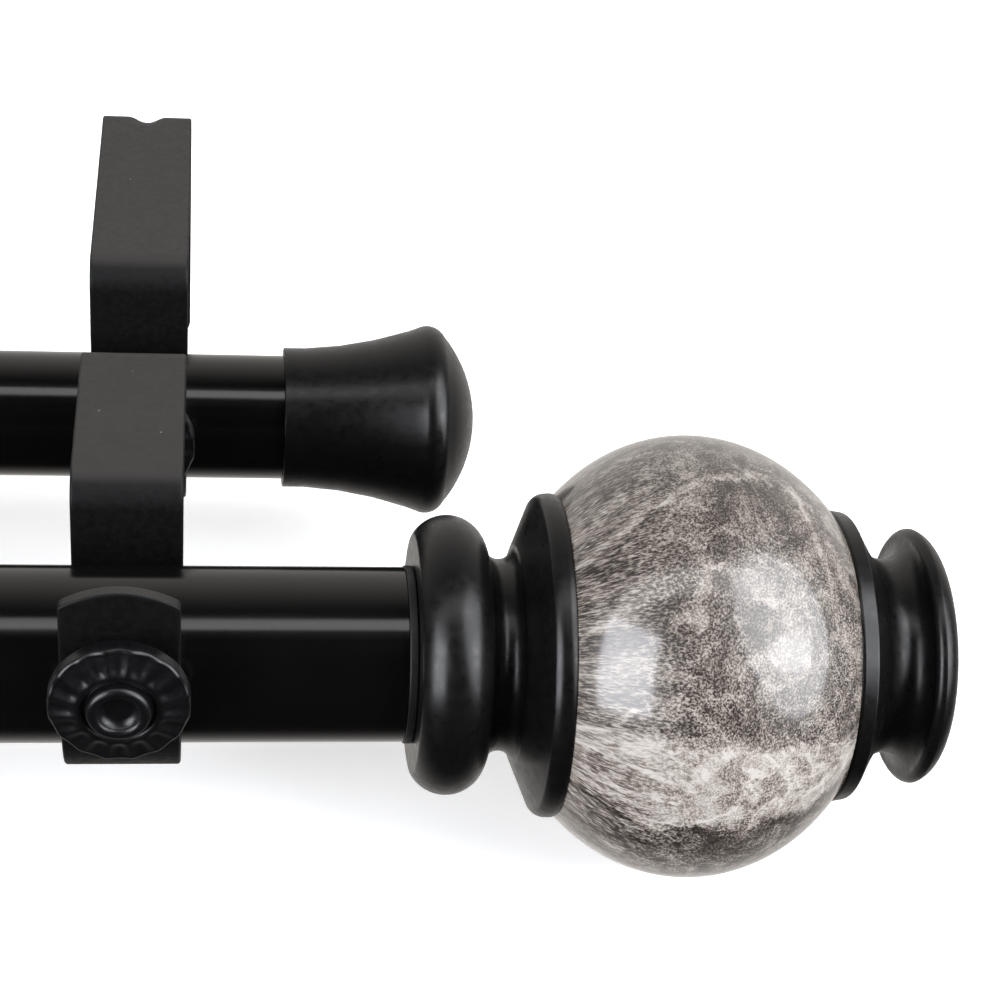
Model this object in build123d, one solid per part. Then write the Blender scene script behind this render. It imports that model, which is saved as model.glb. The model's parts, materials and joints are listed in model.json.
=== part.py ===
from build123d import *
import os
from math import asin, atan2, cos, degrees, radians, sin, sqrt

# Double curtain rod set, closed to its shortest length.
# Frame: origin at the centre of the four wall-screw holes, on the wall. +X runs along the rods to the right end,
# +Y goes into the wall and +Z is up. Millimetres.

# ---------------------------------------------------------------- driving dimensions

# Rods: two pairs of thin steel tubes that telescope
closed_length = 711.2  # between the seats of the two ends, 28 in
front_outer_d = 25.4  # 1 in
front_inner_d = 23.8  # 15/16 in
back_outer_d = 20.64  # 13/16 in
back_inner_d = 19.05  # 3/4 in
tube_wall = 0.5
inner_showing = 76.0  # length of inner tube left in view when closed
inner_end_x = 301.0  # hidden end of the inner tubes
bush_spigot = 18.0
bush_flange = 3.0

# Brackets: one flat strap each, bent on edge lines across its width
bracket_to_end = 41.1  # bracket centre to the seat of the near rod end
strap_width = 16.2
strap_thickness = 2.0
bend_radius = 4.0  # of the strap's centre line
front_cradle_inside_radius = 13.65
back_cradle_inside_radius = 11.7
front_projection = 136.0  # wall to the centre of the front cradle
back_projection = 71.6
front_cradle_height = 7.5  # cradle's centre above the middle of the wall holes
back_cradle_height = 6.2
arm_height = 26.5  # centre line of the wall arm and of the bridge between the cradles
upright_rise = 22.8  # tip of the front upright above the front cradle's centre
upright_crown = 2.5  # rise of the upright's arched top
leg_bottom = -20.5
leg_corner_radius = 3.0
wall_hole_spacing = 18.0
wall_hole_d = 5.0
dart_radius = 4.0  # stiffening dart pressed into the bend at the wall
dart_depth = 1.5
rod_rest_angle = 40.0  # below level, on the wall side: where a rod lies in its cradle
rod_gap = 0.3

# Thumb screws, M5
front_screw_rise = 7.4  # above the cradle's centre
back_screw_rise = 5.8
stud_d = 5.0
front_stud_length = 6.3  # tip to the back of the knob
back_stud_length = 6.7
stud_in_knob = 3.2
stud_pitch = 0.8
stud_tip_radius = 1.2
knob_d = 19.2
knob_rim = 2.7
knob_hub_d = 9.6
knob_hub_length = 0.8
knob_flutes = 16
flute_depth = 0.35
running_gap = 0.05

# Finials, turned parts on an M6 tie rod. Lengths run outwards from the seat at the rod's end
tie_d = 6.0
tie_pitch = 1.0
tie_start = -17.0
tie_end = 73.0
tie_bore_end = 74.0
plug_lip = 1.3
plug_depth = 25.0
plug_lip_d = 25.8
ball_centre = 40.2
ball_half_length = 28.0
ball_radius = 32.4
ball_left_flat = 17.6
ball_right_flat = 62.8
finial_end = 78.4
button_dome_radius = 39.8
button_dome_edge = 12.8

# End caps of the back rod. Lengths run outwards from the cap's mouth
cap_mouth_inset = 17.1  # the mouth lies this far inboard of the rod's end
cap_length = 32.0
cap_mouth_radius = 11.63
cap_dome_radius = 22.0
cap_dome_edge = 14.2  # radius where the dome meets the rounded rim
reducer_length = 16.0

# ---------------------------------------------------------------- worked-out places

end_x = closed_length / 2
bracket_x = end_x - bracket_to_end
half_strap = strap_thickness / 2
front_radius = front_cradle_inside_radius + half_strap  # of the centre line
back_radius = back_cradle_inside_radius + half_strap
front_cradle = (-front_projection, front_cradle_height)  # (y, z)
back_cradle = (-back_projection, back_cradle_height)
front_screw_z = front_cradle_height + front_screw_rise
back_screw_z = back_cradle_height + back_screw_rise
outer_start_x = -end_x + inner_showing


def rod_axis(cradle, inside_radius, rod_d):
    """(y, z) of a rod that lies against the wall side of its cradle."""
    offset = inside_radius - rod_d / 2 - rod_gap
    angle = radians(rod_rest_angle)
    return cradle[0] + offset * cos(angle), cradle[1] - offset * sin(angle)


front_axis = rod_axis(front_cradle, front_cradle_inside_radius, front_outer_d)
back_axis = rod_axis(back_cradle, back_cradle_inside_radius, back_outer_d)


# ---------------------------------------------------------------- helpers


def outline(start, *steps):
    """Closed face. A step is a point for a straight side, (middle, end) for an arc, or a ready edge."""
    edges, here = [], start
    for step in steps:
        if isinstance(step, Edge):
            edges.append(step)
            starts_here = (step @ 0 - Vector(*here)).length < 0.001
            here = tuple(step @ 1 if starts_here else step @ 0)[:2]
            continue
        if isinstance(step[0], tuple):
            middle, end = step
            edges.append(ThreePointArc(here, middle, end))
        else:
            end = step
            edges.append(Line(here, end))
        here = end
    edges.append(Line(here, start))
    return make_face(edges)


def dome_arc(tip_x, radius, edge_radius):
    """Arc of a dome whose tip is on the axis at tip_x, out to its edge at edge_radius."""
    return CenterArc((tip_x - radius, 0), radius, 0, degrees(asin(edge_radius / radius)))


def turned(face):
    """Solid turned about the X axis from a face that lies above it."""
    return revolve(face, Axis.X)


def sleeve(x_from, x_to, inner_radius, outer_radius):
    """Plain ring or tube about the X axis."""
    return turned(outline((x_from, inner_radius), (x_to, inner_radius), (x_to, outer_radius), (x_from, outer_radius)))


def threaded_rod(x_from, x_to, thread_to, diameter, pitch, tip_radius):
    """Rod about the X axis with thread grooves from its tip up to thread_to."""
    crest, root = diameter / 2, diameter / 2 - 0.54 * pitch
    points = [(x_from, tip_radius), (x_from + crest - tip_radius, crest)]
    x = x_from + crest - tip_radius
    while x + pitch < thread_to:
        points += [(x + 0.25 * pitch, crest), (x + 0.55 * pitch, root), (x + 0.7 * pitch, root), (x + pitch, crest)]
        x += pitch
    points += [(x_to - 0.4, crest), (x_to, crest - 0.4), (x_to, 0)]
    return turned(outline((x_from, 0), *points))


def on_axis(part, axis):
    """A part made about the X axis, moved to a rod's centre (y, z)."""
    return Pos(0, axis[0], axis[1]) * part


def write(name, part):
    part.label = name
    export_step(part, os.path.join("parts", name + ".step"))


# ---------------------------------------------------------------- bracket strap


def bent_line(shift):
    """Edges of the strap's centre line in the Y-Z plane, moved sideways by shift (left of travel is positive).

    Each row is a straight run, then the turn at its end (left is positive) and the turn's centre-line radius.
    """
    arm_start = arm_height - bend_radius
    back_wall_y, back_front_y = back_cradle[0] + back_radius, back_cradle[0] - back_radius
    front_wall_y = front_cradle[0] + front_radius
    rows = [
        (arm_start - leg_bottom, 90, bend_radius),
        (-half_strap - back_wall_y - 2 * bend_radius, 90, bend_radius),
        (arm_start - back_cradle_height, -180, back_radius),
        (arm_start - back_cradle_height, 90, bend_radius),
        (back_front_y - front_wall_y - 2 * bend_radius, 90, bend_radius),
        (arm_start - front_cradle_height, -180, front_radius),
        (upright_rise, 0, 0),
    ]
    here, heading = Vector(-half_strap - shift, leg_bottom), 90
    edges = []
    for run, turn, radius in rows:
        direction = Vector(cos(radians(heading)), sin(radians(heading)))
        edges.append(Line(here, here + direction * run))
        here = here + direction * run
        if turn:
            side = 1 if turn > 0 else -1
            arc = JernArc(here, direction, radius - side * shift, turn)
            edges.append(arc)
            here = arc @ 1
        heading += turn
    return edges


def strap_side():
    """Side view of the bent strap, as a face."""
    left, right = bent_line(half_strap), bent_line(-half_strap)
    ends = [Line(left[0] @ 0, right[0] @ 0), Line(left[-1] @ 1, right[-1] @ 1)]
    return make_face(left + right + ends)


def dart():
    """The groove and the bulge of the dart pressed into the bend between arm and wall leg."""
    arm_top = arm_height + half_strap
    outer_radius = bend_radius + half_strap
    slope = sqrt(0.5)
    crown = outer_radius * (1 - slope)
    lift = (dart_radius - dart_depth) * slope
    at = Pos(0, lift - crown, arm_top - crown + lift) * Rot(45, 0, 0)
    groove = at * Cylinder(dart_radius, 30)
    corner = outline(
        (-12, arm_top - 12),
        (0, arm_top - 12),
        (0, arm_top - outer_radius),
        ((-crown, arm_top - crown), (-outer_radius, arm_top)),
        (-12, arm_top),
    )
    corner = extrude(Plane.YZ * corner, strap_width / 2, both=True)
    bulge = (at * Cylinder(dart_radius + strap_thickness, 30)) & corner
    return groove, bulge


def bracket_strap():
    strap = extrude(Plane.YZ * strap_side(), strap_width / 2, both=True)
    groove, bulge = dart()
    strap = strap + bulge - groove
    leg_corners = strap.edges().filter_by(Axis.Y).group_by(Axis.Z)[0]
    strap = fillet(leg_corners, leg_corner_radius)
    half, top = strap_width / 2, front_cradle_height + upright_rise
    beyond = half + 1
    arch = outline(
        (-half, top - upright_crown),
        ((0, top), (half, top - upright_crown)),
        (beyond, top - upright_crown),
        (beyond, top + 1),
        (-beyond, top + 1),
        (-beyond, top - upright_crown),
    )
    upright = Plane((0, front_cradle[0] - front_radius, 0), x_dir=(1, 0, 0), z_dir=(0, -1, 0))
    strap -= extrude(upright * arch, 4, both=True)
    for z in (-wall_hole_spacing / 2, wall_hole_spacing / 2):
        strap -= Pos(0, 0, z) * Rot(90, 0, 0) * Cylinder(wall_hole_d / 2, 10)
    for y, z in ((front_cradle[0] - front_radius, front_screw_z), (back_cradle[0] - back_radius, back_screw_z)):
        strap -= Pos(0, y, z) * Rot(90, 0, 0) * Cylinder(stud_d / 2 + running_gap, 6)
    return strap


# ---------------------------------------------------------------- thumb screws, made about the X axis


def screw_stud(length):
    """Threaded stud with its tip at x = 0 and the back of its knob at x = length."""
    return threaded_rod(0, length + stud_in_knob, length, stud_d, stud_pitch, stud_tip_radius)


def thumb_knob():
    """Fluted disc with a hub behind it, at x = 0. In front a raised ring with a round recess stands in a hollow."""
    rim_back = knob_hub_length
    rim_front = rim_back + knob_rim
    radius, bore = knob_d / 2, stud_d / 2 + running_gap
    bore_end = stud_in_knob + running_gap
    slope_inner, slope_outer, slope_rise = 5.8, radius - 0.5, 0.9
    body = turned(
        outline(
            (0, bore),
            (0, knob_hub_d / 2),
            (rim_back, knob_hub_d / 2),
            (rim_back, radius - 0.6),
            (rim_back + 0.6, radius),
            (rim_front - 0.5, radius),
            ((rim_front - 0.15, radius - 0.15), (rim_front, slope_outer)),
            (rim_front + slope_rise, slope_inner),
            ((rim_front + 0.78, 5.2), (rim_front + 0.3, 4.75)),
            (rim_front + 0.3, 4.55),
            (rim_front + 1.0, 4.4),
            ((rim_front + 1.95, 3.75), (rim_front + 1.65, 2.8)),
            ((rim_front + 1.0, 2.45), (rim_front + 0.5, 1.7)),
            (rim_front + 0.5, 0),
            (bore_end, 0),
            (bore_end, bore),
        )
    )
    tilt = degrees(atan2(slope_rise, slope_outer - slope_inner))
    wide, narrow, reach = 1.9, 0.9, 5.0
    lift = wide - flute_depth
    cone = Cone(narrow, wide, reach, align=(Align.CENTER, Align.CENTER, Align.MIN))
    start = Pos(rim_front + slope_rise + lift * narrow / wide, 0, slope_inner - 0.6)
    cutter = start * Rot(0, -tilt + 6, 0) * cone
    for flute in range(knob_flutes):
        body -= Rot(360 * flute / knob_flutes, 0, 0) * cutter
    return body


def tip_reach(rod_d, axis, screw_z):
    """Y of a stud's tip where its point or its shoulder bears on a rod."""
    height, radius = screw_z - axis[1], rod_d / 2
    shoulder = stud_d / 2 - stud_tip_radius
    at_point = sqrt(radius**2 - (height - stud_tip_radius) ** 2)
    at_shoulder = sqrt(radius**2 - (height - stud_d / 2) ** 2) - shoulder
    return axis[0] - max(at_point, at_shoulder) - rod_gap


def write_thumb_screw(name, x, length, rod_d, axis, screw_z):
    place = Pos(x, tip_reach(rod_d, axis, screw_z), screw_z) * Rot(0, 0, -90)
    write(name + "_screw_stud", place * screw_stud(length))
    write(name + "_thumb_knob", place * Pos(length, 0, 0) * thumb_knob())


# ---------------------------------------------------------------- finials, made with the seat at x = 0


def finial_ball():
    """Flattened ball with a flat and a through bore at each end."""
    half = Edge.make_ellipse(ball_half_length, ball_radius, Plane.XY, 0, 180)
    ball = revolve(make_face([half, Line((-ball_half_length, 0), (ball_half_length, 0))]), Axis.X)
    ball = Pos(ball_centre, 0, 0) * ball
    middle = (ball_left_flat + ball_right_flat) / 2
    return ball & (Pos(middle, 0, 0) * Box(ball_right_flat - ball_left_flat, 80, 80))


def tie_bore():
    bore = Rot(0, 90, 0) * Cylinder(tie_d / 2 + running_gap, tie_bore_end + 1)
    return Pos((tie_bore_end - 1) / 2, 0, 0) * bore


def finial_base():
    """Ring, neck and cup flange in one turned piece, hollowed to seat the ball."""
    return turned(
        outline(
            (0, 0),
            (0, 17.4),
            ((5.2, 20.3), (10.3, 16.3)),
            ((13.0, 14.0), (14.8, 16.1)),
            (17.6, 22.8),
            ((18.4, 23.4), (19.4, 23.6)),
            ((20.1, 23.6), (20.7, 23.4)),
            (20.7, 0),
        )
    ) - finial_ball()


def finial_tip():
    """Collar, neck and rounded button in one turned piece, hollowed to seat the ball."""
    dome = dome_arc(finial_end, button_dome_radius, button_dome_edge)
    return turned(
        outline(
            (61.2, 0),
            (61.2, 21.5),
            ((61.4, 21.6), (61.8, 21.6)),
            (63.7, 21.3),
            ((64.9, 19.2), (67.2, 15.6)),
            ((68.6, 14.7), (70.5, 14.4)),
            ((72.2, 15.3), (73.0, 17.9)),
            ((73.4, 18.6), (74.4, 18.95)),
            ((75.8, 18.0), tuple(dome @ 1)[:2]),
            dome,
        )
    ) - finial_ball()


def tube_plug(tube_inner_radius, lip_radius):
    """Plug pressed into the tube's end, with a lip and the bore that the tie rod screws into."""
    bore = tie_d / 2 + running_gap
    return turned(
        outline(
            (-plug_depth, bore),
            (-plug_depth, tube_inner_radius - 1),
            (-plug_depth + 1, tube_inner_radius),
            (-plug_lip, tube_inner_radius),
            (-plug_lip, lip_radius),
            (-0.1, lip_radius),
            (-0.1, bore),
        )
    )


def write_finial(side_name, place):
    bore = tie_bore()
    write(side_name + "_finial_base", place(finial_base() - bore))
    write(side_name + "_finial_ball", place(finial_ball() - bore))
    write(side_name + "_finial_tip", place(finial_tip() - bore))
    write(side_name + "_finial_tie_rod", place(threaded_rod(tie_start, tie_end, 1, tie_d, tie_pitch, 2.0)))


# ---------------------------------------------------------------- end caps, made with the mouth at x = 0


def end_cap():
    """Sleeve that flares to a rounded, domed end."""
    bore = back_outer_d / 2 + running_gap
    dome = dome_arc(cap_length, cap_dome_radius, cap_dome_edge)
    return turned(
        outline(
            (0, bore),
            (0, cap_mouth_radius - 0.3),
            (0.3, cap_mouth_radius),
            (3.5, cap_mouth_radius),
            ((12.0, 12.6), (20.9, 14.85)),
            (22.6, 15.45),
            ((24.8, 15.7), tuple(dome @ 1)[:2]),
            dome,
            (cap_mouth_inset + 0.3, 0),
            (cap_mouth_inset + 0.3, bore),
        )
    )


# ---------------------------------------------------------------- write the nodes

os.makedirs("parts", exist_ok=True)

strap = bracket_strap()
write("right_bracket_strap", Pos(bracket_x, 0, 0) * strap)
write("left_bracket_strap", Pos(-bracket_x, 0, 0) * strap)

screws = (
    ("front", front_axis, front_screw_z, front_stud_length, front_outer_d, front_inner_d),
    ("back", back_axis, back_screw_z, back_stud_length, back_outer_d, back_inner_d),
)
for name, axis, screw_z, length, outer_d, inner_d in screws:
    write_thumb_screw("right_" + name, bracket_x, length, outer_d, axis, screw_z)
    write_thumb_screw("left_" + name, -bracket_x, length, inner_d, axis, screw_z)

rods = (
    ("front", front_axis, front_outer_d / 2, front_inner_d / 2, end_x - plug_lip),
    ("back", back_axis, back_outer_d / 2, back_inner_d / 2, end_x),
)
for name, axis, outer_radius, inner_radius, tube_end in rods:
    outer_tube = sleeve(outer_start_x, tube_end, outer_radius - tube_wall, outer_radius)
    inner_tube = sleeve(-tube_end, inner_end_x, inner_radius - tube_wall, inner_radius)
    inner_bore, outer_bore = inner_radius - tube_wall, outer_radius - tube_wall
    bush = turned(
        outline(
            (inner_end_x - bush_spigot, inner_bore - 1.5),
            (inner_end_x - bush_spigot, inner_bore),
            (inner_end_x, inner_bore),
            (inner_end_x, outer_bore - running_gap),
            (inner_end_x + bush_flange, outer_bore - running_gap),
            (inner_end_x + bush_flange, inner_bore - 1.5),
        )
    )
    write(name + "_outer_tube", on_axis(outer_tube, axis))
    write(name + "_inner_tube", on_axis(inner_tube, axis))
    write(name + "_slide_bush", on_axis(bush, axis))


def right_end(part):
    return on_axis(Pos(end_x, 0, 0) * part, front_axis)


def left_end(part):
    return on_axis(Pos(-end_x, 0, 0) * mirror(part, about=Plane.YZ), front_axis)


write_finial("right", right_end)
write_finial("left", left_end)
write("right_tube_plug", right_end(tube_plug(front_outer_d / 2 - tube_wall, plug_lip_d / 2)))
write("left_tube_plug", left_end(tube_plug(front_inner_d / 2 - tube_wall, front_inner_d / 2 + 0.2)))

cap = Pos(end_x - cap_mouth_inset, 0, 0) * end_cap()
write("right_end_cap", on_axis(cap, back_axis))
write("left_end_cap", on_axis(mirror(cap, about=Plane.YZ), back_axis))
reducer = sleeve(-end_x, -end_x + reducer_length, back_inner_d / 2, back_outer_d / 2)
write("left_cap_reducer", on_axis(reducer, back_axis))
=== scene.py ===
import json
from math import acos, cos, degrees, pi, radians, sin, sqrt

import bmesh
import bpy
import numpy as np
from mathutils import Matrix, Quaternion, Vector


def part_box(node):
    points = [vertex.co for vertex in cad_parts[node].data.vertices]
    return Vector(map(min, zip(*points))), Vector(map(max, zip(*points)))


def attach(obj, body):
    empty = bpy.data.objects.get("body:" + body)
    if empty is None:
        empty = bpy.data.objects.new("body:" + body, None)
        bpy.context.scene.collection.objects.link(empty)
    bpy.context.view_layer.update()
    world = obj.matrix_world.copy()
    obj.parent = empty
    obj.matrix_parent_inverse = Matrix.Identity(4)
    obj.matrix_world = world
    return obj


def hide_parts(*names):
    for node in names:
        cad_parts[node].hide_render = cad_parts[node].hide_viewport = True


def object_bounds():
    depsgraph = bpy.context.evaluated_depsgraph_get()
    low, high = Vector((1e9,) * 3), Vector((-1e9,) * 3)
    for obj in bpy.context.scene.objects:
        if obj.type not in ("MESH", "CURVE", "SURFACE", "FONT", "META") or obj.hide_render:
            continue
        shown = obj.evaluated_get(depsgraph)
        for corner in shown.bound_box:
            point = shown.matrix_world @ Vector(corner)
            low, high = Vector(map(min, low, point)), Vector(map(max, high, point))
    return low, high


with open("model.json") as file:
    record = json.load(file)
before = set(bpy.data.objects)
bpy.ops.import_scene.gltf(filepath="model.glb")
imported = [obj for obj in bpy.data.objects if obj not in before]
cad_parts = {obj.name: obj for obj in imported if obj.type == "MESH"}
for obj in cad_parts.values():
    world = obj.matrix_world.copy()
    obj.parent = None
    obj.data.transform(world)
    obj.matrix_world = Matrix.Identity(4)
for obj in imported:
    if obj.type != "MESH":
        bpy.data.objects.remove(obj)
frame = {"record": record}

cad_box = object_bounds()

# Double curtain rod: the looks of every piece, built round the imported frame.
# Shapes are written in millimetres and become metres where a mesh is made.
MM = 0.001

# ------------------------------------------------------------------ sizes, in millimetres

strap_width = 16.2
strap_thickness = 2.0
strap_edge = 0.45  # rounding along the strap's edges
bend_radius = 4.0
front_cradle_inside_radius = 13.65
back_cradle_inside_radius = 11.7
front_cradle_height = 7.5
back_cradle_height = 6.2
back_projection = 71.6
arm_height = 26.5
upright_rise = 22.8
upright_crown = 2.5
leg_corner_radius = 3.0
wall_hole_spacing = 18.0
wall_hole_d = 5.0
dart_half_width = 3.4
dart_depth = 1.4
dart_half_length = 6.0

tube_wall = 0.5
tube_edge = 0.12

stud_d = 5.0
stud_pitch = 0.8
stud_tip_radius = 1.2
thread_depth = 0.54  # share of the pitch
knob_d = 19.2
knob_rim = 2.7
knob_hub_d = 9.6
knob_hub_length = 0.8
knob_flutes = 16
flute_depth = 0.5
flute_inner_radius = 5.2  # where the flutes begin
running_gap = 0.05
stud_in_knob = 3.2

tie_d = 6.0
tie_pitch = 1.0
tie_bore_end = 74.0
plug_lip = 1.3
plug_depth = 25.0
ball_centre = 40.2
ball_half_length = 28.0
ball_radius = 32.4
ball_flat = 22.6  # from the ball's middle to its flats
cup_rim = 20.7
tip_rim = 61.2
finial_end = 78.4
button_dome_radius = 39.8
button_dome_edge = 12.8
cup_gap = 0.03

cap_mouth_inset = 17.1
cap_length = 32.0
cap_mouth_radius = 11.63
cap_dome_radius = 22.0
cap_dome_edge = 14.2
bush_flange = 3.0

# ------------------------------------------------------------------ places, from the frame


def box_mm(node):
    """Lowest and highest corner of a CAD node, in millimetres."""
    low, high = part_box(node)
    return low / MM, high / MM


def radius_of(node):
    """Radius of a round CAD node that lies along X."""
    low, high = box_mm(node)
    return (high.z - low.z) / 2


def rod_axis(tube):
    """(y, z) of a tube's centre."""
    low, high = box_mm(tube)
    return (low.y + high.y) / 2, (low.z + high.z) / 2


front_axis = rod_axis("front_outer_tube")
back_axis = rod_axis("back_outer_tube")
seat_x = box_mm("right_finial_base")[0].x
strap_low, strap_high = box_mm("right_bracket_strap")
bracket_x = (strap_low.x + strap_high.x) / 2
half_strap = strap_thickness / 2
front_radius = front_cradle_inside_radius + half_strap  # of the strap's centre line
back_radius = back_cradle_inside_radius + half_strap
front_leg_y = strap_low.y + half_strap  # centre line of the front upright
back_leg_y = -back_projection - back_radius
leg_bottom = strap_low.z

record = frame["record"]
body_of = {node: body for body, nodes in record["behaviour"]["bodies"].items() for node in nodes}
slot_of = {part["node"]: part["material_slot"] for part in record["subparts"]}

# ------------------------------------------------------------------ outlines


def arc_points(start, middle, end, step=6.0):
    """Points along the circle through three points, after the first one."""
    (ax, ay), (bx, by), (cx, cy) = start, middle, end
    d = 2 * (ax * (by - cy) + bx * (cy - ay) + cx * (ay - by))
    a2, b2, c2 = ax * ax + ay * ay, bx * bx + by * by, cx * cx + cy * cy
    ux = (a2 * (by - cy) + b2 * (cy - ay) + c2 * (ay - by)) / d
    uy = (a2 * (cx - bx) + b2 * (ax - cx) + c2 * (bx - ax)) / d
    angles = [np.arctan2(y - uy, x - ux) for x, y in (start, middle, end)]
    sweep = (angles[2] - angles[0]) % (2 * pi)
    if (angles[1] - angles[0]) % (2 * pi) > sweep:
        sweep -= 2 * pi
    radius = np.hypot(ax - ux, ay - uy)
    count = max(3, int(abs(degrees(sweep)) / step))
    turns = [angles[0] + sweep * i / count for i in range(1, count + 1)]
    return [(ux + radius * cos(t), uy + radius * sin(t)) for t in turns]


def outline(start, *steps):
    """Points of an outline. A step is a point, a (middle, end) pair for an arc, or a list of ready points."""
    points = [start]
    for step in steps:
        if isinstance(step, list):
            points += step
        elif isinstance(step[0], tuple):
            points += arc_points(points[-1], *step)
        else:
            points.append(step)
    return points


def dome(tip_x, radius, edge_radius):
    """Points of a dome from its edge at edge_radius to its tip on the axis."""
    edge = np.arcsin(edge_radius / radius)
    turns = np.linspace(edge, 0, 12)
    return [(tip_x - radius + radius * cos(t), max(radius * sin(t), 0.0)) for t in turns]


def softened(points, radius, closed):
    """The outline with its sharp corners rounded."""
    count, result = len(points), []
    for i, here in enumerate(points):
        if not closed and i in (0, count - 1):
            result.append(here)
            continue
        before, after = Vector(points[i - 1]), Vector(points[(i + 1) % count])
        corner = Vector(here)
        back, ahead = before - corner, after - corner
        turn = pi - back.angle(ahead, pi)
        if turn < radians(24):
            result.append(here)
            continue
        reach = min(radius, back.length * 0.45, ahead.length * 0.45)
        start, end = corner + back.normalized() * reach, corner + ahead.normalized() * reach
        for t in np.linspace(0, 1, 5):
            spot = start * (1 - t) ** 2 + corner * (2 * t * (1 - t)) + end * t**2
            result.append((spot.x, spot.y))
    return result


# ------------------------------------------------------------------ meshes


def make_piece(name, points, faces, place=None):
    """A shown piece from points in millimetres, with outward faces and smooth shading."""
    mesh = bpy.data.meshes.new(name)
    mesh.from_pydata((np.asarray(points, float) * MM).tolist(), [], faces)
    work = bmesh.new()
    work.from_mesh(mesh)
    bmesh.ops.remove_doubles(work, verts=work.verts, dist=1e-7)
    bmesh.ops.recalc_face_normals(work, faces=work.faces)
    work.to_mesh(mesh)
    work.free()
    piece = bpy.data.objects.new(name, mesh)
    bpy.context.scene.collection.objects.link(piece)
    if place is not None:
        piece.matrix_world = place
    shade(piece)
    return piece


def shade(piece, crease=38):
    mesh = piece.data
    mesh.shade_smooth()
    mesh.set_sharp_from_angle(angle=radians(crease))
    weighted = piece.modifiers.new("weighted", "WEIGHTED_NORMAL")
    weighted.keep_sharp = True
    weighted.weight = 80


def lathe(name, profile, place, closed=True, segments=160, edge=0.25, shape=None):
    """A piece turned about its own X axis. shape(x, r, turns) may change x and r, as for a thread."""
    profile = np.array(softened(profile, edge, closed))
    turn = np.linspace(0, 2 * pi, segments, endpoint=False)
    x = np.repeat(profile[:, 0:1], segments, axis=1)
    r = np.repeat(profile[:, 1:2], segments, axis=1)
    turns = np.repeat(turn[None, :], len(profile), axis=0)
    if shape:
        x, r = shape(x, r, turns)
    points = np.stack([x, r * np.cos(turns), r * np.sin(turns)], axis=-1).reshape(-1, 3)
    rows = len(profile)
    faces = []
    for i in range(rows if closed else rows - 1):
        low, high = i * segments, ((i + 1) % rows) * segments
        for k in range(segments):
            after = (k + 1) % segments
            faces.append((low + k, low + after, high + after, high + k))
    return make_piece(name, points, faces, place)


def stand_for(piece, node):
    """The piece takes the CAD node's place, body and finish."""
    slot = slot_of[node]
    piece.data.materials.append(finish_of[slot])
    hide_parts(node)
    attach(piece, body_of[node])
    return piece


def at(x, y, z):
    return Matrix.Translation(Vector((x, y, z)) * MM)


def outward(side, x, axis):
    """Place at x from the middle, with the piece's own X axis pointing away from the middle."""
    turn = Matrix.Rotation(0 if side > 0 else pi, 4, "Z")
    return at(side * x, *axis) @ turn


facing_room = Matrix.Rotation(-pi / 2, 4, "Z")  # own X axis points away from the wall
sides = (("right", 1), ("left", -1))

# ------------------------------------------------------------------ materials


class Finish:
    """A material's node tree, with short calls for the nodes that the finishes share."""

    def __init__(self, name, **settings):
        self.material = bpy.data.materials.new(name)
        self.material.use_nodes = True
        self.nodes = self.material.node_tree.nodes
        self.links = self.material.node_tree.links
        self.shader = next(n for n in self.nodes if n.type == "BSDF_PRINCIPLED")
        for socket, value in settings.items():
            self.shader.inputs[socket.replace("_", " ")].default_value = value
        self.place = self.nodes.new("ShaderNodeTexCoord").outputs["Object"]

    def put(self, kind, inputs, **settings):
        """A new node, with its settings and its input values or links."""
        node = self.nodes.new("ShaderNode" + kind)
        for name, value in settings.items():
            setattr(node, name, value)
        for key, value in inputs.items():
            socket = node.inputs[key]
            if isinstance(value, bpy.types.NodeSocket):
                self.links.new(value, socket)
            else:
                socket.default_value = value
        return node

    def noise(self, scale, detail=3.0, roughness=0.55, place=None, distortion=0.0):
        values = {"Vector": place or self.place, "Scale": scale, "Detail": detail}
        values |= {"Roughness": roughness, "Distortion": distortion}
        return self.put("TexNoise", values).outputs["Fac"]

    def stretched(self, scale):
        """The object's own coordinates, scaled by axis."""
        return self.put("Mapping", {"Vector": self.place, "Scale": scale}).outputs["Vector"]

    def span(self, value, low, high, to_low=0.0, to_high=1.0, smooth=True):
        inputs = {"Value": value, "From Min": low, "From Max": high, "To Min": to_low, "To Max": to_high}
        kind = "SMOOTHSTEP" if smooth else "LINEAR"
        return self.put("MapRange", inputs, interpolation_type=kind).outputs["Result"]

    def maths(self, operation, a, b=0.0):
        return self.put("Math", {0: a, 1: b}, operation=operation).outputs[0]

    def blend(self, share, a, b):
        """Colour a where share is 0 and b where it is 1."""
        node = self.put("Mix", {"Factor": share}, data_type="RGBA")
        for socket, value in ((node.inputs[6], a), (node.inputs[7], b)):
            if isinstance(value, bpy.types.NodeSocket):
                self.links.new(value, socket)
            else:
                socket.default_value = (*value, 1.0)
        return node.outputs[2]

    def specks(self, scale, size, share):
        """1 in small round specks, in that share of the cells."""
        cells = self.put("TexVoronoi", {"Vector": self.place, "Scale": scale, "Randomness": 1.0})
        dot = self.span(cells.outputs["Distance"], size, size * 0.5)
        pick = self.put("SeparateColor", {"Color": cells.outputs["Color"]}).outputs["Red"]
        return self.maths("MULTIPLY", dot, self.span(pick, 1 - share, 1 - share + 0.01, smooth=False))

    def bump(self, height, strength, distance):
        inputs = {"Height": height, "Strength": strength, "Distance": distance}
        return self.put("Bump", inputs).outputs["Normal"]

    def use(self, **sources):
        for socket, source in sources.items():
            self.links.new(source, self.shader.inputs[socket.replace("_", " ")])
        return self.material


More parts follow.
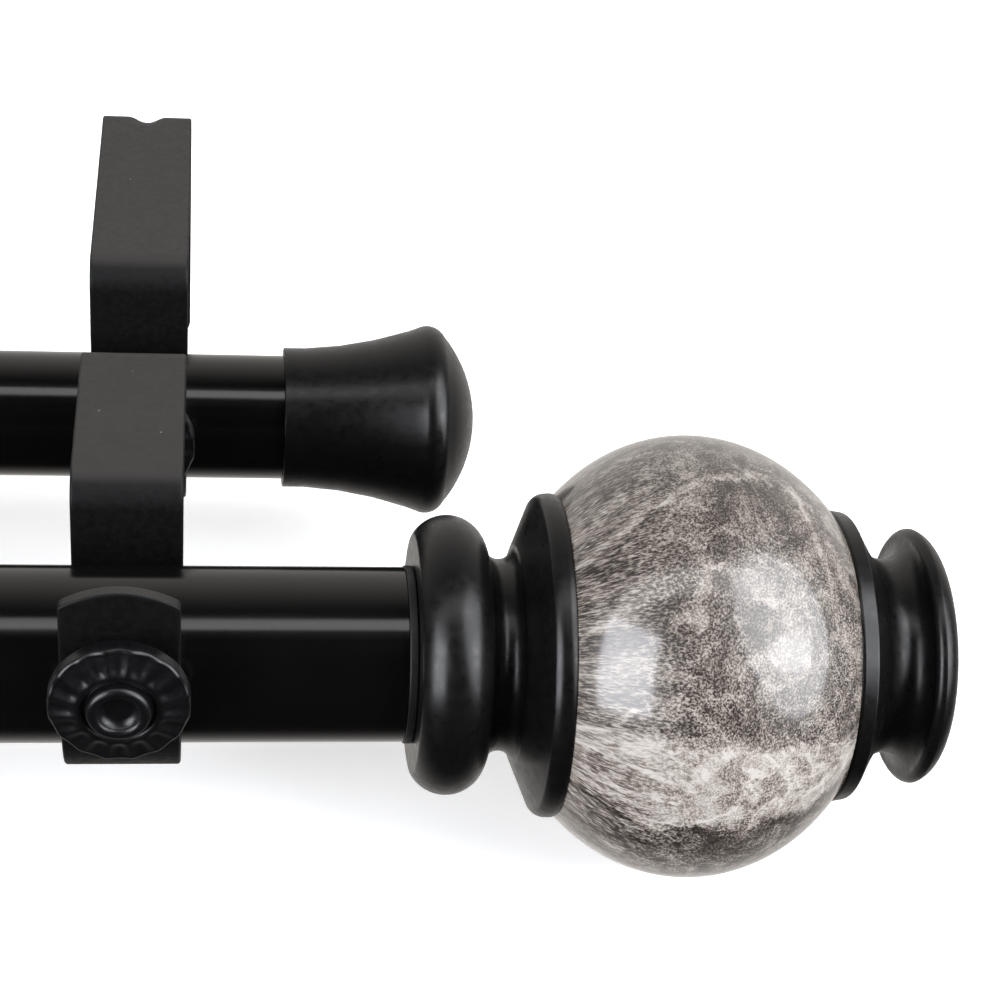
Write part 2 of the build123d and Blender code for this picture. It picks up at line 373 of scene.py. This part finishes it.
def strap_finish():
    """Satin powder coat with a fine grain and pale dust specks, and a paler colour on the faces that look up:
    painted light on the tops.
    """
    coat = Finish("strap_coat", Specular_IOR_Level=0.22)
    mottle = coat.noise(260, detail=4)
    side_tone = coat.blend(mottle, (0.0010, 0.0010, 0.0012), (0.0022, 0.0021, 0.0023))
    painted_top_light = coat.blend(mottle, (0.0270, 0.0250, 0.0238), (0.0370, 0.0342, 0.0322))
    facing = coat.put("SeparateXYZ", {"Vector": coat.put("NewGeometry", {}).outputs["Normal"]}).outputs["Z"]
    # faces that look up take the paler colour: painted light, the sheen the tops catch from above
    colour = coat.blend(coat.span(facing, 0.72, 1.0), side_tone, painted_top_light)
    dust = coat.specks(430, 0.07, 0.03)
    colour = coat.blend(dust, colour, (0.30, 0.29, 0.28))
    grain = coat.noise(2600, detail=2)
    return coat.use(
        Base_Color=colour,
        Roughness=coat.span(coat.noise(900, detail=3), 0.25, 0.75, 0.48, 0.62),
        Normal=coat.bump(grain, 0.22, 0.00012),
    )


def tube_finish():
    """Smooth black lacquer with faint lengthwise drag marks."""
    lacquer = Finish("tube_lacquer")
    drag = lacquer.noise(900, detail=3, place=lacquer.stretched((0.02, 1, 1)))
    colour = lacquer.blend(lacquer.noise(90), (0.0012, 0.0011, 0.0011), (0.0024, 0.0022, 0.0021))
    colour = lacquer.blend(lacquer.specks(300, 0.04, 0.012), colour, (0.12, 0.115, 0.115))
    return lacquer.use(
        Base_Color=colour,
        Roughness=lacquer.span(drag, 0.3, 0.7, 0.13, 0.18),
        Normal=lacquer.bump(lacquer.noise(420, detail=2), 0.03, 0.0001),
    )


def cast_finish():
    """Satin black paint on turned resin."""
    paint = Finish("cast_paint", Specular_IOR_Level=0.34)
    colour = paint.blend(paint.noise(140, detail=4), (0.0016, 0.0015, 0.0016), (0.0032, 0.0030, 0.0031))
    colour = paint.blend(paint.specks(330, 0.05, 0.015), colour, (0.18, 0.175, 0.175))
    return paint.use(
        Base_Color=colour,
        Roughness=paint.span(paint.noise(700, detail=3), 0.3, 0.7, 0.27, 0.36),
        Normal=paint.bump(paint.noise(1500, detail=2), 0.06, 0.00006),
    )


def knob_finish():
    """Moulded black plastic, a little glossier than the paint."""
    plastic = Finish("knob_plastic", Specular_IOR_Level=0.42)
    colour = plastic.blend(plastic.noise(400, detail=4), (0.0012, 0.0012, 0.0016), (0.0028, 0.0027, 0.0033))
    return plastic.use(
        Base_Color=colour,
        Roughness=plastic.span(plastic.noise(1200, detail=3), 0.3, 0.7, 0.30, 0.38),
        Normal=plastic.bump(plastic.noise(2200, detail=2), 0.03, 0.00005),
    )


def steel_finish():
    """Zinc-plated thread with a little grime."""
    steel = Finish("screw_steel", Metallic=1.0)
    grime = steel.noise(900, detail=4)
    colour = steel.blend(grime, (0.40, 0.40, 0.41), (0.62, 0.62, 0.63))
    return steel.use(
        Base_Color=colour,
        Roughness=steel.span(grime, 0.3, 0.7, 0.28, 0.45),
        Normal=steel.bump(steel.noise(2500), 0.15, 0.00008),
    )


def nylon_finish():
    """Moulded black nylon with a fine spark-eroded texture."""
    nylon = Finish("bush_nylon")
    colour = nylon.blend(nylon.noise(300, detail=4), (0.0025, 0.0025, 0.0025), (0.0060, 0.0060, 0.0062))
    return nylon.use(
        Base_Color=colour,
        Roughness=nylon.span(nylon.noise(1500), 0.3, 0.7, 0.42, 0.58),
        Normal=nylon.bump(nylon.noise(3000, detail=2), 0.2, 0.0001),
    )


def resin_finish():
    """Clear-coated resin: speckle that is drawn out into streaks at one cup, with pale bands and veins."""
    resin = Finish("ball_resin", Coat_Weight=1.0, Coat_Roughness=0.12, Coat_IOR=1.5)
    spread = resin.put("SeparateXYZ", {"Vector": resin.place}).outputs
    along = resin.maths("MULTIPLY", spread["X"], 1000.0)  # millimetres from the ball's middle
    across = resin.put("CombineXYZ", {"X": 0.0, "Y": spread["Y"], "Z": spread["Z"]}).outputs[0]
    facing = resin.put("VectorMath", {0: across}, operation="NORMALIZE").outputs[0]
    way = resin.put("SeparateXYZ", {"Vector": facing}).outputs
    angle = resin.maths("ARCTAN2", way["Z"], resin.maths("MULTIPLY", way["Y"], -1.0))
    angle = resin.maths("MULTIPLY", angle, degrees(1))  # degrees above level, on the side of the room
    # the pattern's own place: squeezed along the axis towards the streaked end
    past_streaks = resin.maths("ADD", along, 7.0)
    past = resin.put("Math", {0: past_streaks, 1: 0.0, 2: 9.0}, operation="SMOOTH_MAX").outputs[0]
    drawn = resin.maths("ADD", resin.maths("MULTIPLY", along, 0.20), resin.maths("MULTIPLY", past, 0.8))
    turned = {"X": resin.maths("MULTIPLY", drawn, 0.001)}
    turned |= {axis: resin.maths("MULTIPLY", way[axis], 0.026) for axis in ("Y", "Z")}
    spot = resin.put("CombineXYZ", turned).outputs[0]
    wander = resin.maths("ADD", resin.noise(150, detail=5, roughness=0.6, place=spot), -0.5)
    angle = resin.maths("ADD", angle, resin.maths("MULTIPLY", wander, 22))

    def ridge(value, middle, half, soft):
        """1 where value is within half of the middle, and 0 beyond half + soft."""
        off = resin.maths("ABSOLUTE", resin.maths("SUBTRACT", value, middle))
        return resin.span(resin.maths("SUBTRACT", off, half), soft, 0.0)

    def curve(square, slope, start):
        """square x^2 + slope x + start, with x in millimetres along the axis."""
        inner = resin.maths("ADD", resin.maths("MULTIPLY", along, square), slope)
        return resin.maths("ADD", resin.maths("MULTIPLY", inner, along), start)

    band = ridge(angle, curve(-0.009, -0.10, 5.0), curve(-0.009, -0.10, 12.0), 3.0)
    low_shade = resin.maths("MULTIPLY", ridge(angle, -15.0, 5.0, 5.0), ridge(along, -1.0, 12.0, 6.0))
    vein = ridge(angle, curve(-0.018, 0.62, 87.5), 0.5, 2.0)
    vein = resin.maths("MULTIPLY", vein, resin.span(along, 13.0, 10.0))
    hook = ridge(along, resin.maths("SUBTRACT", 22.6, resin.maths("MULTIPLY", angle, 0.115)), 0.2, 0.8)
    hook = resin.maths("MULTIPLY", hook, ridge(angle, 78.0, 14.0, 8.0))
    second = resin.maths("MULTIPLY", ridge(angle, curve(-0.065, -0.39, 57.4), 0.7, 3.0), 0.7)
    high_shade = resin.maths("MULTIPLY", ridge(angle, 81.0, 3.0, 6.0), ridge(along, 5.0, 4.0, 5.0))
    clouds = resin.noise(300, detail=5, roughness=0.6, place=spot, distortion=0.5)
    threads = resin.noise(120, detail=4, roughness=0.55, place=spot, distortion=1.2)
    threads = ridge(threads, 0.5, 0.006, 0.035)
    speckle = resin.span(resin.noise(3900, detail=2, roughness=0.75, place=spot), 0.40, 0.60, smooth=False)

    tone = resin.span(clouds, 0.36, 0.64, 0.10, 0.46)
    pale = ((band, 0.38), (vein, 0.34), (hook, 0.32), (second, 0.22), (threads, 0.22))
    dark = ((low_shade, -0.20), (high_shade, -0.22))
    for part, weight in pale + dark:
        tone = resin.maths("ADD", tone, resin.maths("MULTIPLY", part, weight))
    contrast = resin.span(tone, 0.2, 1.0, 0.80, 0.24)
    salt = resin.maths("MULTIPLY", resin.maths("SUBTRACT", speckle, 0.5), contrast)
    tone = resin.maths("ADD", tone, salt)
    darker_half = resin.span(tone, 0.0, 0.5, smooth=False)
    paler_half = resin.span(tone, 0.5, 1.0, smooth=False)
    colour = resin.blend(darker_half, (0.015, 0.010, 0.008), (0.150, 0.125, 0.105))
    colour = resin.blend(paler_half, colour, (0.410, 0.383, 0.350))
    return resin.use(
        Base_Color=colour,
        Roughness=resin.span(speckle, 0.0, 1.0, 0.35, 0.55),
        Coat_Normal=resin.bump(resin.noise(1400, detail=2), 0.03, 0.0001),
    )


finish_of = {
    "satin_black_strap": strap_finish(),
    "gloss_black_tube": tube_finish(),
    "satin_black_cast": cast_finish(),
    "black_knob": knob_finish(),
    "marbled_resin": resin_finish(),
    "plated_steel": steel_finish(),
    "black_nylon": nylon_finish(),
}

# ------------------------------------------------------------------ bracket straps


def strap_line():
    """Points along the strap's centre line: distance along it, (y, z), and the way to its outer side."""
    arm_start = arm_height - bend_radius
    rows = (
        (arm_start - leg_bottom, 90, bend_radius),
        (-half_strap - back_leg_y - 2 * back_radius - 2 * bend_radius, 90, bend_radius),
        (arm_start - back_cradle_height, -180, back_radius),
        (arm_start - back_cradle_height, 90, bend_radius),
        (back_leg_y - front_leg_y - 2 * front_radius - 2 * bend_radius, 90, bend_radius),
        (arm_start - front_cradle_height, -180, front_radius),
        (upright_rise, 0, 0),
    )
    here, heading, done = np.array([-half_strap, leg_bottom]), pi / 2, 0.0
    line = []
    for run, turn, radius in rows:
        ahead = np.array([cos(heading), sin(heading)])
        normal = np.array([ahead[1], -ahead[0]])
        for t in np.linspace(0, 1, max(3, int(run / 0.8)), endpoint=turn == 0):
            line.append((done + run * t, here + ahead * run * t, normal))
        here, done = here + ahead * run, done + run
        if not turn:
            continue
        side = 1 if turn > 0 else -1
        centre = here - normal * radius * side
        sweep = radians(turn)
        for t in np.linspace(0, 1, max(4, int(abs(turn) / 4)), endpoint=False):
            angle = sweep * t
            spin = np.array([[cos(angle), -sin(angle)], [sin(angle), cos(angle)]])
            line.append((done + radius * abs(angle), centre + spin @ normal * radius * side, spin @ normal))
        heading += sweep
        here = centre + np.array([sin(heading), -cos(heading)]) * radius * side
        done += radius * abs(sweep)
    return line


def strap_loop():
    """The strap's cross-section as (across, out) points, and how many of them lie along each flat."""
    reach, rise = strap_width / 2 - strap_edge, half_strap - strap_edge
    flat = np.linspace(-reach, reach, 28)
    turns = np.radians((68, 45, 22, 0))
    corner = [(reach + strap_edge * cos(a), rise + strap_edge * sin(a)) for a in turns]
    loop = [(w, half_strap) for w in flat] + corner
    loop += [(w, -t) for w, t in reversed(corner)] + [(w, -half_strap) for w in reversed(flat)]
    loop += [(-w, -t) for w, t in corner] + [(-w, t) for w, t in reversed(corner)]
    return np.array(loop), len(flat)


def end_outline(across, s, length):
    """Distance along the strap, moved near its ends to follow the round corners and the arched top."""
    half, near = strap_width / 2, 7.0
    beyond = np.clip(abs(across) - (half - leg_corner_radius), 0, leg_corner_radius)
    start = leg_corner_radius - np.sqrt(leg_corner_radius**2 - beyond**2)
    s = np.where(s < near, start + s * (near - start) / near, s)
    drop = upright_crown * (across / half) ** 2
    return np.where(s > length - near, length - near + (s - length + near) * (near - drop) / near, s)


def strap_mesh(name):
    line = strap_line()
    marks = np.array([m[0] for m in line])
    spots = np.array([m[1] for m in line])
    normals = np.array([m[2] for m in line])
    length = marks[-1]
    turns = np.radians((90, 68, 45, 22, 0))
    round_in = [(strap_edge * (1 - sin(a)), strap_edge * (1 - cos(a))) for a in turns]
    inner = [(s, 0.0) for s in marks if strap_edge * 1.5 < s < length - strap_edge * 1.5]
    rows = round_in + inner + [(length - s, inset) for s, inset in reversed(round_in)]
    loop, flat = strap_loop()
    bend_s = arm_height - bend_radius - leg_bottom + bend_radius * pi / 4
    points = []
    for s, inset in rows:
        across = loop[:, 0] * (1 - inset / (strap_width / 2))
        out = loop[:, 1] * (1 - inset / half_strap)
        along = end_outline(across, s, length)
        over_w = np.clip(across / dart_half_width, -1, 1)
        over_s = np.clip((along - bend_s) / dart_half_length, -1, 1)
        out = out - dart_depth * np.cos(over_w * pi / 2) ** 2 * np.cos(over_s * pi / 2) ** 2
        y = np.interp(along, marks, spots[:, 0]) + out * np.interp(along, marks, normals[:, 0])
        z = np.interp(along, marks, spots[:, 1]) + out * np.interp(along, marks, normals[:, 1])
        points.append(np.stack([across, y, z], axis=-1))
    count = len(loop)
    faces = []
    for i in range(len(rows) - 1):
        for k in range(count):
            after = (k + 1) % count
            faces.append((i * count + k, i * count + after, (i + 1) * count + after, (i + 1) * count + k))
    for base in (0, (len(rows) - 1) * count):
        under = [2 * flat + 7 - j for j in range(flat)]
        faces += [(base + j, base + j + 1, base + under[j + 1], base + under[j]) for j in range(flat - 1)]
        faces.append([base + k for k in range(flat - 1, under[-1] + 1)])
        faces.append([base + k for k in range(under[0], count)] + [base])
    return make_piece(name, np.concatenate(points), faces)


def drill(piece, cutters):
    """Cuts the cutters out of the piece and removes them."""
    for cutter in cutters:
        cut = piece.modifiers.new("cut", "BOOLEAN")
        cut.object, cut.operation, cut.solver = cutter, "DIFFERENCE", "EXACT"
    piece.modifiers.remove(piece.modifiers["weighted"])
    bpy.context.view_layer.update()
    cut_mesh = bpy.data.meshes.new_from_object(piece.evaluated_get(bpy.context.evaluated_depsgraph_get()))
    piece.modifiers.clear()
    piece.data = cut_mesh
    for cutter in cutters:
        bpy.data.objects.remove(cutter)
    shade(piece)


def hole_cutter(radius, y, z, rim):
    """Round cutter through the strap at (y, z), wider at both faces so that the hole's rims are broken."""
    face, past = half_strap, half_strap + 1.0
    wide = radius + rim + 1.0
    half = [(past, 0), (past, wide), (face - rim, radius)]
    profile = [(-x, r) for x, r in half] + half[::-1]
    return lathe("hole_cutter", profile, at(0, y, z) @ facing_room, closed=False, segments=48, edge=0.0)


def write_straps():
    """The right strap is drilled once, and the left one is its copy."""
    wall_holes = (-wall_hole_spacing / 2, wall_hole_spacing / 2)
    cutters = [hole_cutter(wall_hole_d / 2, -half_strap, z, 0.35) for z in wall_holes]
    for row, leg_y in (("front", front_leg_y), ("back", back_leg_y)):
        low, high = box_mm(f"right_{row}_screw_stud")
        cutters.append(hole_cutter(stud_d / 2 + running_gap, leg_y, (low.z + high.z) / 2, 0.2))
    strap = strap_mesh("right_bracket_strap_piece")
    drill(strap, cutters)
    copy = bpy.data.objects.new("left_bracket_strap_piece", strap.data.copy())
    bpy.context.scene.collection.objects.link(copy)
    shade(copy)
    for side_name, side, piece in (("right", 1, strap), ("left", -1, copy)):
        piece.location = Vector((side * bracket_x, 0, 0)) * MM
        stand_for(piece, side_name + "_bracket_strap")


write_straps()

# ------------------------------------------------------------------ thumb screws


def helix(crest, pitch, start, end):
    """Shape for a lathe: a screw thread between start and end, run out at both."""

    def shape(x, r, turns):
        phase = (x / pitch - turns / (2 * pi)) % 1
        groove = np.clip(1.35 - abs(phase - 0.5) * 5.2, 0, 1) * thread_depth * pitch
        fade = np.clip((x - start) / pitch, 0, 1) * np.clip((end - x) / pitch, 0, 1)
        return x, np.where(r > crest - 0.6 * pitch, r - groove * fade, r)

    return shape


def threaded_rod(name, start, end, thread_end, diameter, pitch, tip_radius, place):
    crest, chamfer = diameter / 2, 0.4
    shoulder = start + crest - tip_radius
    steps = [(x, crest) for x in np.arange(shoulder + pitch / 8, thread_end, pitch / 8)]
    profile = [(start, 0), (start, tip_radius), (shoulder, crest), *steps]
    profile += [(end - chamfer, crest), (end, crest - chamfer), (end, 0)]
    thread = helix(crest, pitch, start + 0.3 * pitch, thread_end)
    return lathe(name, profile, place, closed=False, segments=48, edge=0.1, shape=thread)


def scallops(x, r, turns):
    """Shape for a lathe: round flutes in the knob's face that open through its rim."""
    radius = knob_d / 2
    valley = (0.5 + 0.5 * np.cos(knob_flutes * turns)) ** 0.8
    reach = np.clip((r - flute_inner_radius) / (radius - flute_inner_radius), 0, 1)
    front = np.clip((x - knob_hub_length - 0.9) / 1.4, 0, 1)
    start = np.clip(reach / 0.4, 0, 1)
    depth = flute_depth * (1 - 0.45 * reach) * start**2 * (3 - 2 * start)
    return x - depth * valley * front, r - 0.05 * valley * np.clip((r - radius + 1.0), 0, 1)


def thumb_knob(name, place):
    rim_back, radius = knob_hub_length, knob_d / 2
    rim_front = rim_back + knob_rim
    bore = stud_d / 2 + running_gap
    slope = [(rim_front + 0.9 - 0.86 * t, 5.85 + (radius - 0.62 - 5.85) * t) for t in np.linspace(0, 1, 14)]
    profile = outline(
        (stud_in_knob + running_gap, 0),
        (stud_in_knob + running_gap, bore),
        (0, bore),
        (0, knob_hub_d / 2),
        (rim_back, knob_hub_d / 2),
        (rim_back, radius - 0.5),
        ((rim_back + 0.15, radius - 0.15), (rim_back + 0.5, radius)),
        (rim_front - 0.9, radius),
        (rim_front - 0.5, radius),
        ((rim_front - 0.12, radius - 0.2), slope[-1]),
        slope[-2::-1],
        ((rim_front + 0.78, 5.2), (rim_front + 0.3, 4.75)),
        (rim_front + 0.3, 4.55),
        (rim_front + 1.0, 4.4),
        ((rim_front + 1.95, 3.75), (rim_front + 1.65, 2.8)),
        ((rim_front + 1.0, 2.45), (rim_front + 0.5, 1.7)),
        (rim_front + 0.5, 0),
    )
    return lathe(name, profile, place, closed=False, segments=knob_flutes * 16, edge=0.12, shape=scallops)


for side_name, side in sides:
    for row in ("front", "back"):
        name = side_name + "_" + row
        stud_low, stud_high = box_mm(name + "_screw_stud")
        knob_back = box_mm(name + "_thumb_knob")[1].y
        x, z = (stud_low.x + stud_high.x) / 2, (stud_low.z + stud_high.z) / 2
        length = stud_high.y - stud_low.y
        stud = threaded_rod(
            name + "_screw_stud_piece", 0, length, length - stud_in_knob,
            stud_d, stud_pitch, stud_tip_radius, at(x, stud_high.y, z) @ facing_room,
        )
        stand_for(stud, name + "_screw_stud")
        knob = thumb_knob(name + "_thumb_knob_piece", at(x, knob_back, z) @ facing_room)
        stand_for(knob, name + "_thumb_knob")

# ------------------------------------------------------------------ rods


def tube(name, start, end, axis, radius):
    inner = radius - tube_wall
    profile = [(start, inner), (end, inner), (end, radius), (start, radius)]
    return lathe(name + "_piece", profile, at(0, *axis), segments=224, edge=tube_edge)


def slide_bush(name, start, end, axis, spigot_radius, flange_radius):
    bore = spigot_radius - 1.5
    profile = [
        (start, bore), (start, spigot_radius), (end - bush_flange, spigot_radius),
        (end - bush_flange, flange_radius), (end, flange_radius), (end, bore),
    ]
    return lathe(name + "_piece", profile, at(0, *axis), segments=96, edge=0.3)


for row, axis in (("front", front_axis), ("back", back_axis)):
    for name in (row + "_outer_tube", row + "_inner_tube"):
        low, high = box_mm(name)
        stand_for(tube(name, low.x, high.x, axis, radius_of(name)), name)
    name = row + "_slide_bush"
    low, high = box_mm(name)
    bush = slide_bush(name, low.x, high.x, axis, radius_of(row + "_inner_tube") - tube_wall, radius_of(name))
    stand_for(bush, name)

# ------------------------------------------------------------------ finials


def ball_radius_at(along):
    """Radius of the ball's surface at a distance along the axis from its middle."""
    return ball_radius * sqrt(1 - (along / ball_half_length) ** 2)


def cup(rim, flat):
    """Hollow that seats the ball, from its rim to its flat floor, as distances from the seat."""
    return [(u, ball_radius_at(u - ball_centre) + cup_gap) for u in np.linspace(rim, flat, 7)]


def finial_base(name, place):
    """Ring, neck and cup flange in one turned piece."""
    bore, floor = tie_d / 2 + running_gap, ball_centre - ball_flat
    profile = outline(
        (0, bore),
        (0, 17.4),
        ((5.2, 20.3), (10.3, 16.3)),
        ((13.0, 14.0), (14.8, 16.1)),
        (17.6, 22.8),
        ((18.4, 23.4), (19.4, 23.6)),
        ((20.1, 23.6), (cup_rim, 23.4)),
        cup(cup_rim, floor),
        (floor - cup_gap, bore),
    )
    return lathe(name, profile, place, segments=224, edge=0.3)


def finial_ball(name, place):
    """Flattened ball about its own middle, with a flat at each end and a through bore."""
    bore = tie_d / 2 + running_gap
    first = acos(ball_flat / ball_half_length)
    skin = [(-ball_half_length * cos(t), ball_radius * sin(t)) for t in np.linspace(first, pi - first, 110)]
    return lathe(name, [(-ball_flat, bore), *skin, (ball_flat, bore)], place, segments=256, edge=0.2)


def finial_tip(name, place):
    """Collar, neck and rounded button in one turned piece."""
    bore, floor = tie_d / 2 + running_gap, ball_centre + ball_flat
    button_dome = dome(finial_end, button_dome_radius, button_dome_edge)
    profile = outline(
        (tie_bore_end, 0),
        (tie_bore_end, bore),
        (floor + cup_gap, bore),
        cup(floor, tip_rim),
        (tip_rim, 21.5),
        ((tip_rim + 0.2, 21.6), (tip_rim + 0.6, 21.6)),
        (63.7, 21.3),
        ((64.9, 19.2), (67.2, 15.6)),
        ((68.6, 14.7), (70.5, 14.4)),
        ((72.2, 15.3), (73.0, 17.9)),
        ((73.4, 18.6), (74.4, 18.95)),
        ((75.8, 18.0), button_dome[0]),
        button_dome[1:],
    )
    return lathe(name, profile, place, closed=False, segments=224, edge=0.25)


def tube_plug(name, place, tube_inner_radius, lip_radius):
    bore = tie_d / 2 + running_gap
    profile = [
        (-plug_depth, bore), (-plug_depth, tube_inner_radius - 1), (-plug_depth + 1, tube_inner_radius),
        (-plug_lip, tube_inner_radius), (-plug_lip, lip_radius), (-0.1, lip_radius), (-0.1, bore),
    ]
    return lathe(name, profile, place, segments=160, edge=0.2)


# ------------------------------------------------------------------ end caps


def end_cap(name, place, bore):
    """Sleeve that flares to a rounded, domed end."""
    end_dome = dome(cap_length, cap_dome_radius, cap_dome_edge)
    profile = outline(
        (cap_mouth_inset + 0.3, 0),
        (cap_mouth_inset + 0.3, bore),
        (0, bore),
        (0, cap_mouth_radius),
        (3.5, cap_mouth_radius),
        ((12.0, 12.6), (20.9, 14.85)),
        (22.6, 15.45),
        ((24.8, 15.7), end_dome[0]),
        end_dome[1:],
    )
    return lathe(name, profile, place, closed=False, segments=224, edge=0.25)


for side_name, side in sides:
    seat = outward(side, seat_x, front_axis)
    stand_for(finial_base(side_name + "_finial_base_piece", seat), side_name + "_finial_base")
    middle = outward(side, seat_x + ball_centre, front_axis)
    stand_for(finial_ball(side_name + "_finial_ball_piece", middle), side_name + "_finial_ball")
    stand_for(finial_tip(side_name + "_finial_tip_piece", seat), side_name + "_finial_tip")
    rod_low, rod_high = box_mm(side_name + "_finial_tie_rod")
    starts, ends = sorted(abs(x) - seat_x for x in (rod_low.x, rod_high.x))
    rod = threaded_rod(side_name + "_finial_tie_rod_piece", starts, ends, 1, tie_d, tie_pitch, 2.0, seat)
    stand_for(rod, side_name + "_finial_tie_rod")
    fits = radius_of("front_outer_tube" if side > 0 else "front_inner_tube") - tube_wall
    plug = tube_plug(side_name + "_tube_plug_piece", seat, fits, radius_of(side_name + "_tube_plug"))
    stand_for(plug, side_name + "_tube_plug")
    mouth = outward(side, seat_x - cap_mouth_inset, back_axis)
    cap = end_cap(side_name + "_end_cap_piece", mouth, radius_of("back_outer_tube") + running_gap)
    stand_for(cap, side_name + "_end_cap")

low, high = box_mm("left_cap_reducer")
inner, outer = radius_of("back_inner_tube"), radius_of("left_cap_reducer")
profile = [(low.x, inner), (high.x, inner), (high.x, outer), (low.x, outer)]
reducer = lathe("left_cap_reducer_piece", profile, at(0, *back_axis), segments=128, edge=0.15)
stand_for(reducer, "left_cap_reducer")

# ------------------------------------------------------------------ floor, light and camera


def floor():
    """Plain pale floor at the object's lowest point."""
    half = 16.0
    mesh = bpy.data.meshes.new("floor")
    z = cad_box[0].z
    corners = [(-half, -half, z), (half, -half, z), (half, half, z), (-half, half, z)]
    mesh.from_pydata(corners, [], [(0, 1, 2, 3)])
    plane = bpy.data.objects.new("floor", mesh)
    bpy.context.scene.collection.objects.link(plane)
    paper = Finish("floor_paper", Roughness=0.9, Specular_IOR_Level=0.0, Emission_Strength=0.50)
    paper.shader.inputs["Emission Color"].default_value = (1.0, 1.0, 1.0, 1.0)
    tint = paper.blend(paper.noise(3), (0.86, 0.86, 0.86), (0.88, 0.88, 0.88))
    mesh.materials.append(paper.use(Base_Color=tint))
    plane.visible_glossy = False


def surroundings():
    """A white room for the camera. The object sees it dim in front, and brighter behind and below."""
    world = bpy.data.worlds.new("room")
    bpy.context.scene.world = world
    world.use_nodes = True
    nodes, links = world.node_tree.nodes, world.node_tree.links
    nodes.clear()
    way = nodes.new("ShaderNodeTexCoord")
    split = nodes.new("ShaderNodeSeparateXYZ")
    links.new(way.outputs["Generated"], split.inputs[0])
    below = nodes.new("ShaderNodeMath")
    below.operation = "MINIMUM"
    links.new(split.outputs["Z"], below.inputs[0])
    below.inputs[1].default_value = 0.0
    reach = nodes.new("ShaderNodeMath")
    reach.operation = "MULTIPLY_ADD"
    links.new(below.outputs[0], reach.inputs[0])
    reach.inputs[1].default_value = -0.3
    links.new(split.outputs["Y"], reach.inputs[2])
    fade = nodes.new("ShaderNodeMapRange")
    fade.interpolation_type = "SMOOTHSTEP"
    links.new(reach.outputs[0], fade.inputs["Value"])
    for socket, value in (("From Min", 0.0), ("From Max", 0.9), ("To Min", 0.012), ("To Max", 0.75)):
        fade.inputs[socket].default_value = value
    seen_by_object = nodes.new("ShaderNodeBackground")
    seen_by_object.inputs["Color"].default_value = (1.0, 0.96, 0.92, 1.0)
    links.new(fade.outputs["Result"], seen_by_object.inputs["Strength"])
    seen_by_camera = nodes.new("ShaderNodeBackground")
    seen_by_camera.inputs["Color"].default_value = (1.0, 1.0, 1.0, 1.0)
    path = nodes.new("ShaderNodeLightPath")
    either = nodes.new("ShaderNodeMixShader")
    links.new(path.outputs["Is Camera Ray"], either.inputs[0])
    links.new(seen_by_object.outputs[0], either.inputs[1])
    links.new(seen_by_camera.outputs[0], either.inputs[2])
    output = nodes.new("ShaderNodeOutputWorld")
    links.new(either.outputs[0], output.inputs[0])


def softbox(name, centre, target, size, radiance, colour, shape="RECTANGLE", tilt=0.0):
    """Area light in metres, aimed at target, equally bright whatever its size. tilt is in degrees."""
    light = bpy.data.lights.new(name, "AREA")
    light.shape = shape
    light.size, light.size_y = size
    area = size[0] * size[1] * (pi / 4 if shape == "ELLIPSE" else 1)
    light.energy = radiance * area * pi
    light.color = colour
    lamp = bpy.data.objects.new(name, light)
    bpy.context.scene.collection.objects.link(lamp)
    lamp.location = centre
    aim = (Vector(target) - Vector(centre)).to_track_quat("-Z", "Y")
    lamp.rotation_euler = (aim @ Quaternion((0, 0, 1), radians(tilt))).to_euler()
    lamp.visible_camera = False


def camera():
    """Camera in front of the right-hand bracket, above the rods, turned a little to the right."""
    offset = Vector((10.5, -255.8, 208.0))  # from the front rod's centre at the right bracket
    yaw, pitch, roll = radians(9.16), radians(34.85), radians(5.89)
    ahead = Vector((sin(yaw) * cos(pitch), cos(yaw) * cos(pitch), -sin(pitch)))
    level = Vector((cos(yaw), -sin(yaw), 0))
    above = level.cross(ahead)
    right = cos(roll) * level + sin(roll) * above
    up = cos(roll) * above - sin(roll) * level
    data = bpy.data.cameras.new("camera")
    data.lens, data.sensor_width = 81.82, 36.0
    data.clip_start, data.clip_end = 0.01, 60.0
    eye = bpy.data.objects.new("camera", data)
    bpy.context.scene.collection.objects.link(eye)
    turn = Matrix((right, up, -ahead)).transposed().to_4x4()
    eye.matrix_world = at(*(Vector((bracket_x, *front_axis)) + offset)) @ turn
    bpy.context.scene.camera = eye


floor()
surroundings()
middle = Vector((seat_x + ball_centre, *front_axis)) * MM
softbox("overhead", (0.1, -0.42, 1.25), (0.1, -0.12, 0.0), (3.0, 0.32), 2.9, (1.0, 0.98, 0.97))
lights = (
    ("left_softbox", 1.25, (-0.814, -0.512, 0.270), (0.80, 0.92), 9.0, (0.93, 0.95, 1.0), "RECTANGLE", 18.0),
    ("right_softbox", 1.25, (0.760, -0.372, 0.531), (1.42, 2.0), 5.0, (0.94, 0.96, 1.0), "ELLIPSE", 0.0),
    ("right_lamp", 1.2, (0.797, -0.460, 0.391), (0.70, 0.34), 6.0, (1.0, 1.0, 1.0), "ELLIPSE", -30.0),
)
for name, distance, way, *look in lights:
    softbox(name, middle + distance * Vector(way), middle, *look)
camera()
bpy.context.scene.view_settings.view_transform = "Standard"
